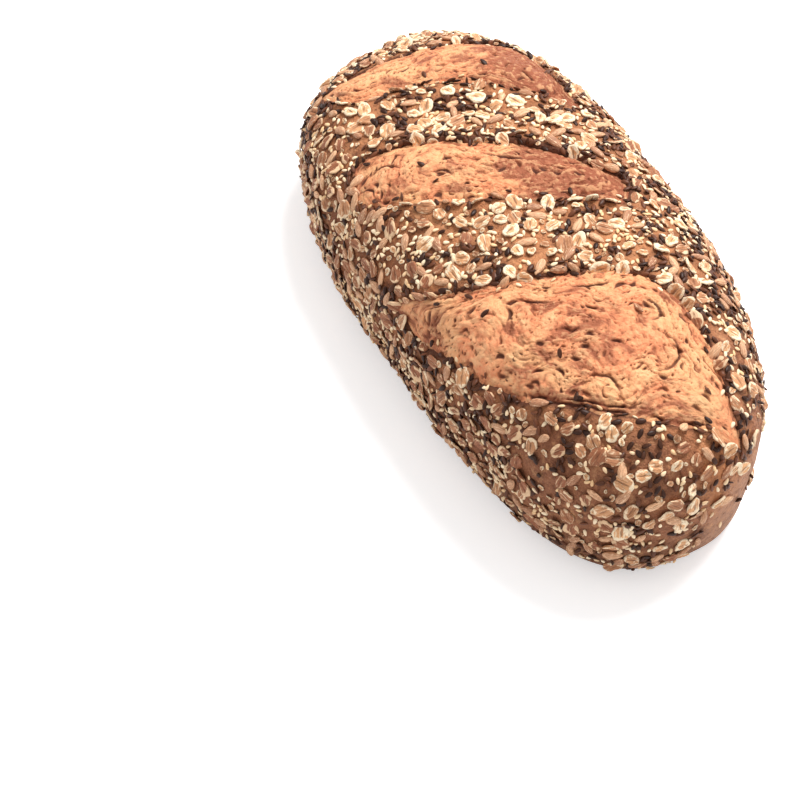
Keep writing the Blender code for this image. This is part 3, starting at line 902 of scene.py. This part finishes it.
def model_drop(size, taper, ringed, flatten, seed):
    """A seed's drop shape, drawn from a ball: its length lies along X and its point at +X."""
    segments, rings = ringed
    bpy.ops.mesh.primitive_uv_sphere_add(segments=segments, ring_count=rings, rotation=(0, math.pi / 2, 0))
    drop = bpy.context.object
    bpy.ops.object.transform_apply(location=True, rotation=True, scale=True)
    shape = read(drop.data.vertices, "co")
    draw = random.Random(seed)
    along = shape[:, 0].copy()
    slim = 1 - taper * (0.5 + 0.5 * along) ** 1.4
    shape[:, 1] *= slim
    shape[:, 2] *= 0.55 + 0.45 * slim
    shape[:, 2] = np.where(shape[:, 2] < 0, shape[:, 2] * (1 - flatten), shape[:, 2])
    shape[:, 1] += draw.uniform(-0.10, 0.10) * (1 - along**2)
    shape *= np.array(size) / 2
    write(drop.data, shape)
    return take_form(drop)


kernel_forms = [model_drop(KERNEL_SIZE, 0.46, (10, 7), 0.3, seed) for seed in range(6)]
seats, draw = seat(KERNELS, KERNEL_ROOM, 61)
seats.append(dough_seat(KERNEL_IN_BLOOM))
kernels = lay("sunflower_kernels", kernel_forms, seats, draw, tilt=0.14, lift=(0.0003, 0.0009))
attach(kernels, "root")
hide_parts("loaf")

meat = Look("kernel_meat", roughness=0.6, specular=0.4)
tint = meat.kept("tint")
grain = meat.own_grain(2.2, 3, 0.6, tint, stretch=(1.0, 3.0, 1.0))
tone = meat.colour(tint, srgb(228, 176, 134), srgb(168, 112, 80))
tone = meat.colour(meat.between(grain, 0.5, 0.66) * 0.65, tone, srgb(122, 80, 56))
tone = meat.colour(meat.between(grain, 0.47, 0.34) * 0.75, tone, srgb(250, 216, 176))
kernels.data.materials.append(meat.finish(Base_Color=tone, Normal=meat.bump(grain, 0.0003, 0.6)))


# The linseed: small flat pointed seeds, 4.5 mm long, smooth and dark brown, which gather in dark patches.
LINSEED_SIZE = (0.0045, 0.0026, 0.0013)
LINSEEDS, EDGE_LINSEEDS, LINSEED_ROOM = 1900, 34, 0.00090
LINSEED_SHADE_REACH = 0.0048

linseed_forms = [model_drop(LINSEED_SIZE, 0.34, (8, 6), 0.2, seed) for seed in range(4)]
gathered = smooth_step(0.10 + 2.2 * drift(centres, 0.010, 71)) + 0.11
gathered += 0.7 * np.exp(-((clear_of_tear / 0.004) ** 2)) + 0.35 * smooth_step((centres[:, 1] - 0.03) / 0.03)
seats, draw = seat(LINSEEDS, LINSEED_ROOM, 72, gathered)
STRAY_LINSEEDS = (
    (0.1308, 0.0155), (0.088, -0.0338), (0.0361, -0.0502), (0.0498, -0.0494), (0.0316, -0.0636),
    (-0.0925, 0.0292), (-0.1014, 0.0008), (-0.0624, 0.0451), (-0.0422, -0.0324), (-0.0285, -0.0319),
)
seats += [dough_seat(stray) for stray in STRAY_LINSEEDS]
seats += edge_seats(draw, EDGE_LINSEEDS)
linseed = lay("linseed", linseed_forms, seats, draw, tilt=0.32, lift=(0.0002, 0.0010))
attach(linseed, "root")
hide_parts("loaf")

# Painted shade: the skin is darkened round the linseed, most where they crowd
linseed_tree = kdtree.KDTree(len(seats))
for number, (place, _) in enumerate(seats):
    linseed_tree.insert(place, number)
linseed_tree.balance()
oiled = [
    sum((1 - gap / LINSEED_SHADE_REACH) ** 2 for _, _, gap in linseed_tree.find_range(point, LINSEED_SHADE_REACH))
    for point in read(crust.data.vertices, "co")
]
paint(crust.data, "oiled", np.clip(np.array(oiled) * 0.75, 0, 1))

shell = Look("linseed_shell", roughness=0.42, specular=0.22)
tint = shell.kept("tint")
tone = shell.colour(tint**2.0, srgb(52, 29, 20), srgb(116, 68, 44))
# Paler brown patches on each seed
paler_patches = shell.between(shell.own_grain(2.0, 3, 0.6, tint), 0.52, 0.72)
tone = shell.colour(paler_patches * 0.45, tone, srgb(104, 68, 48))
linseed.data.materials.append(shell.finish(Base_Color=tone))


# The sesame: hulled seeds, 3 mm drops, cream to pale yellow, scattered into every gap.
SESAME_SIZE = (0.0032, 0.0022, 0.0014)
SESAMES, EDGE_SESAMES, SESAME_ROOM = 1560, 16, 0.00095

sesame_forms = [model_drop(SESAME_SIZE, 0.5, (8, 6), 0.2, seed) for seed in range(4)]
strewn = smooth_step(0.4 + 1.3 * drift(centres, 0.009, 81)) + 0.25
strewn *= 1 - 0.45 * smooth_step((centres[:, 0] - 0.06) / 0.06)
seats, draw = seat(SESAMES, SESAME_ROOM, 82, strewn)
seats += edge_seats(draw, EDGE_SESAMES)
sesame = lay("sesame", sesame_forms, seats, draw, tilt=0.22, lift=(0.0002, 0.0009))
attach(sesame, "root")
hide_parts("loaf")

hull = Look("sesame_hull", roughness=0.5, specular=0.4)
tone = hull.colour(hull.kept("tint"), srgb(255, 233, 198), srgb(238, 194, 142))
sesame.data.materials.append(hull.finish(Base_Color=tone))


# The floor: plain white board, with a camera and soft light from above and behind on the right. The board
# looks brighter to the camera than it lights the loaf, as in an overexposed photograph.
bpy.ops.mesh.primitive_plane_add(size=6.0, location=(0, 0, -0.0002))
floor = bpy.context.object
floor.name = "floor"
board = Look("floor_board", roughness=0.9, specular=0.1)
board.shader.inputs["Base Color"].default_value = (0.93, 0.93, 0.94, 1.0)
board.shader.inputs["Emission Strength"].default_value = 0.44
seen = board.node("ShaderNodeLightPath", {}, {}, out="Is Camera Ray")
floor.data.materials.append(board.finish(Emission_Color=seen))

world = bpy.data.worlds.new("studio")
bpy.context.scene.world = world
bpy.context.scene.view_settings.view_transform = "Standard"
world.use_nodes = True
world.node_tree.nodes["Background"].inputs["Color"].default_value = (1.0, 1.0, 1.0, 1.0)
world.node_tree.nodes["Background"].inputs["Strength"].default_value = 0.66

AZIMUTH, ELEVATION, DISTANCE = math.radians(62.218), math.radians(52), 1.1
AIM_HEIGHT, AIM_RIGHT, AIM_UP = 0.045, 0.0582, 0.0634
FOCAL_PIXELS, PICTURE_PIXELS, SENSOR_WIDTH = 2322.34, 800, 36.0
level = math.cos(ELEVATION)
back = Vector((math.sin(AZIMUTH) * level, -math.cos(AZIMUTH) * level, math.sin(ELEVATION)))
right = Vector((math.cos(AZIMUTH), math.sin(AZIMUTH), 0))
up = back.cross(right)


def add_light(name, side, height, behind, size, power):
    """A soft light placed by how far it is to the right, up and behind the loaf as the camera sees it."""
    ahead = Vector((-math.sin(AZIMUTH), math.cos(AZIMUTH), 0))
    place = right * side + ahead * behind + Vector((0, 0, height))
    bpy.ops.object.light_add(type="AREA", location=place)
    light = bpy.context.object
    light.name = name
    light.data.shape = "DISK"
    light.data.size = size
    light.data.energy = power
    light.rotation_euler = place.to_track_quat("Z", "Y").to_euler()


add_light("window", side=0.50, height=1.45, behind=0.60, size=0.8, power=33)

camera_data = bpy.data.cameras.new("camera")
camera = bpy.data.objects.new("camera", camera_data)
bpy.context.collection.objects.link(camera)
camera_data.sensor_width = SENSOR_WIDTH
camera_data.lens = FOCAL_PIXELS / PICTURE_PIXELS * SENSOR_WIDTH
camera_data.clip_start, camera_data.clip_end = 0.05, 20.0
camera.location = Vector((0, 0, AIM_HEIGHT)) - AIM_RIGHT * right - AIM_UP * up + DISTANCE * back - PLAN_MIDDLE
camera.rotation_euler = back.to_track_quat("Z", "Y").to_euler()
bpy.context.scene.camera = camera
